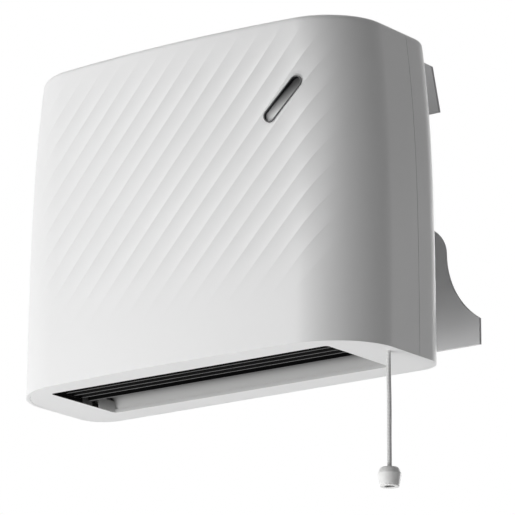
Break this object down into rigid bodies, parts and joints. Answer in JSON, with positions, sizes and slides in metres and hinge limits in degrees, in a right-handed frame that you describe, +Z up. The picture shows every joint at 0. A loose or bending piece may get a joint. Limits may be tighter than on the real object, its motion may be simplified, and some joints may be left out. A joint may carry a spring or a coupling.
{
  "type": "bathroom wall fan heater",
  "caption": "Downflow wall fan heater: bowed white casing with diagonal ribs, louvred outlet in the base, pull cord with acorn, and a grey wall plate it hangs on.",
  "frame": {"origin": "on the wall plane, in the middle of the four wall fixing holes", "axes": "+X to the right seen from the front, +Y into the wall, +Z up; the casing front faces -Y"},
  "size_m": [0.31, 0.163, 0.3349],
  "materials": {
    "casing_white": "satin moulded plastic",
    "louvre_black": "black heat-proof plastic",
    "deflector_white": "pale heat-proof plastic",
    "bezel_dark": "dark gloss plastic",
    "lens_smoke": "smoked clear plastic",
    "board_green": "printed board",
    "lamp_amber": "indicator lamp",
    "plate_grey": "grey powder coat",
    "zinc_steel": "zinc plated steel",
    "sheet_steel": "galvanised sheet",
    "fan_alloy": "rolled aluminium",
    "stack_steel": "laminated steel",
    "winding_copper": "lacquered copper winding",
    "bracket_alloy": "die-cast alloy",
    "bush_bronze": "sintered bronze",
    "rubber_black": "black rubber",
    "mica_board": "mica board",
    "ribbon_alloy": "resistance ribbon",
    "ceramic_pale": "ceramic and phenolic",
    "terminal_white": "white nylon",
    "screw_brass": "brass",
    "switch_white": "moulded nylon",
    "spring_steel": "spring wire",
    "cord_white": "braided cord",
    "acorn_white": "gloss moulded plastic"
  },
  "bodies": {
    "casing": {"front_cover": "casing_white", "rear_cover": "casing_white", "base_panel": "casing_white", "outlet_louvre": "louvre_black", "air_deflector": "deflector_white", "window_bezel": "bezel_dark", "window_lens": "lens_smoke", "indicator_board": "board_green", "indicator_lamps": "lamp_amber", "wall_plate": "plate_grey", "cover_screws": "zinc_steel", "locking_screws": "zinc_steel", "cable_grommet": "rubber_black", "fan_scroll": "sheet_steel", "fan_tongue": "sheet_steel", "fan_end_plate_left": "sheet_steel", "fan_end_plate_right": "sheet_steel", "journal_bush": "bush_bronze", "journal_grommet": "rubber_black", "motor_stack": "stack_steel", "motor_coil": "winding_copper", "motor_bracket_front": "bracket_alloy", "motor_bracket_rear": "bracket_alloy", "motor_bushes": "bush_bronze", "motor_screws": "zinc_steel", "element_frame": "mica_board", "element_ribbons": "ribbon_alloy", "thermal_cutout": "ceramic_pale", "thermal_fuse": "ceramic_pale", "terminal_block": "terminal_white", "terminal_screws": "screw_brass", "cable_clamp": "terminal_white", "switch_housing": "switch_white", "switch_cover": "switch_white", "lever_pin": "zinc_steel", "switch_spring": "spring_steel", "cord_bush": "casing_white"},
    "fan_rotor": {"fan_impeller": "fan_alloy", "fan_shaft": "zinc_steel", "fan_journal": "zinc_steel", "motor_rotor": "stack_steel"},
    "cord": {"pull_cord": "cord_white", "cord_acorn": "acorn_white", "acorn_knot": "cord_white", "inner_cord": "cord_white", "top_knot": "cord_white", "cord_plunger": "switch_white"},
    "lever": {"switch_lever": "switch_white"}
  },
  "joints": [
    {"name": "fan_spin", "type": "hinge", "parent": "casing", "child": "fan_rotor", "pos_m": [0, -0.0929, 0.022], "axis": [1, 0, 0], "continuous": true},
    {"name": "cord_pull", "type": "slide", "parent": "casing", "child": "cord", "axis": [0, 0, -1], "range_m": [0, 0.01], "stiffness_N_per_m": 120, "springref_m": -0.006, "deforming": ["switch_spring"]},
    {"name": "lever_swing", "type": "hinge", "parent": "casing", "child": "lever", "pos_m": [0.1314, -0.103, -0.0996], "axis": [0, 1, 0], "range_deg": [0, 38.9]}
  ],
  "couplings": [
    {"joint": "lever_swing", "follows": "cord_pull", "rad_per_m": 67.835}
  ]
}
